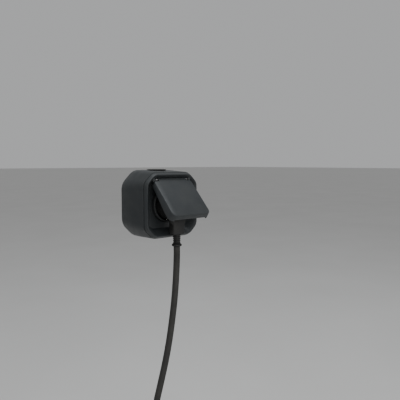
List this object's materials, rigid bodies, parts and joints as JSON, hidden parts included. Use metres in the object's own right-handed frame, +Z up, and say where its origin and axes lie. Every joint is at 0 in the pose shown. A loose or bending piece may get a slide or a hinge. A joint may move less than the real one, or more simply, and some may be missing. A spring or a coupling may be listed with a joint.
{
  "type": "socket outlet",
  "caption": "Weatherproof surface-mounted socket outlet with a radio relay and a sprung flap, propped open by an angled plug whose lead hangs down.",
  "frame": {"origin": "centre of the back face that lies on the wall", "axes": "+Z up, the front with the flap faces -Y, +X to the right of someone who faces it"},
  "size_m": [0.1071, 0.0904, 0.4522],
  "materials": {
    "anthracite": "fine-grained satin, dark blue-grey",
    "anthracite_inner": "satin, near black",
    "seal_rubber": "matt, soft",
    "plug_rubber": "matt, moulded",
    "cord_rubber": "matt, slightly dusty",
    "base_plastic": "ivory moulded thermoset",
    "brass": "bright, pressed",
    "nickel": "nickel plated",
    "steel": "spring and screw steel",
    "board_green": "solder mask",
    "part_black": "moulded, black",
    "relay_blue": "moulded, blue",
    "lamp_clear": "clear light guide",
    "wire_brown": "wire sheath, brown",
    "wire_blue": "wire sheath, blue"
  },
  "bodies": {
    "housing": {"back_box": "anthracite", "box_gasket": "seal_rubber", "button_spring": "steel", "capacitor": "part_black", "circuit_board": "board_green", "contact_live": "brass", "contact_neutral": "brass", "earth_bracket": "nickel", "entry_blank": "anthracite", "entry_grommet": "seal_rubber", "flap_spring_left": "steel", "flap_spring_right": "steel", "frame_screw_left": "steel", "frame_screw_right": "steel", "front_frame": "anthracite", "light_pipe": "lamp_clear", "link_wire_live": "wire_brown", "link_wire_neutral": "wire_blue", "mains_transformer": "part_black", "push_switch": "part_black", "radio_module": "nickel", "relay": "relay_blue", "shutter": "part_black", "shutter_spring": "steel", "socket_base": "base_plastic", "socket_insert": "anthracite_inner", "status_lamp": "lamp_clear", "terminal_screw_earth": "nickel", "terminal_screw_live": "nickel", "terminal_screw_neutral": "nickel"},
    "button": {"push_button": "anthracite_inner"},
    "hinge_pin": {"hinge_pin": "steel"},
    "flap": {"flap_cover": "anthracite", "flap_gasket": "seal_rubber"},
    "plug": {"plug_body": "plug_rubber", "plug_face": "plug_rubber", "plug_pin_left": "nickel", "plug_pin_right": "nickel", "plug_earth_low": "nickel", "plug_earth_high": "nickel", "strain_relief": "plug_rubber", "cord": "cord_rubber", "cord_coil": "cord_rubber", "cord_tail": "cord_rubber", "cord_tie": "seal_rubber", "connector_relief": "plug_rubber", "connector_body": "plug_rubber"}
  },
  "joints": [
    {"name": "plug_pull", "type": "slide", "parent": "housing", "child": "plug", "axis": [0, -1, 0], "range_m": [0, 0.02]},
    {"name": "flap_lift", "type": "hinge", "parent": "housing", "child": "hinge_pin", "pos_m": [0, -0.0478, 0.0316], "axis": [-1, 0, 0], "range_deg": [0, 30]},
    {"name": "flap_open", "type": "hinge", "parent": "hinge_pin", "child": "flap", "pos_m": [0, -0.0478, 0.0316], "axis": [-1, 0, 0], "range_deg": [0, 42], "stiffness_Nm_per_rad": 0.02, "springref_deg": -68.75},
    {"name": "button_press", "type": "slide", "parent": "housing", "child": "button", "axis": [0, 1, 0], "range_m": [0, 0.001], "stiffness_N_per_m": 400, "springref_m": -0.001}
  ],
  "couplings": [
    {"joint": "flap_lift", "follows": "plug_pull", "rad_per_m": 24}
  ]
}
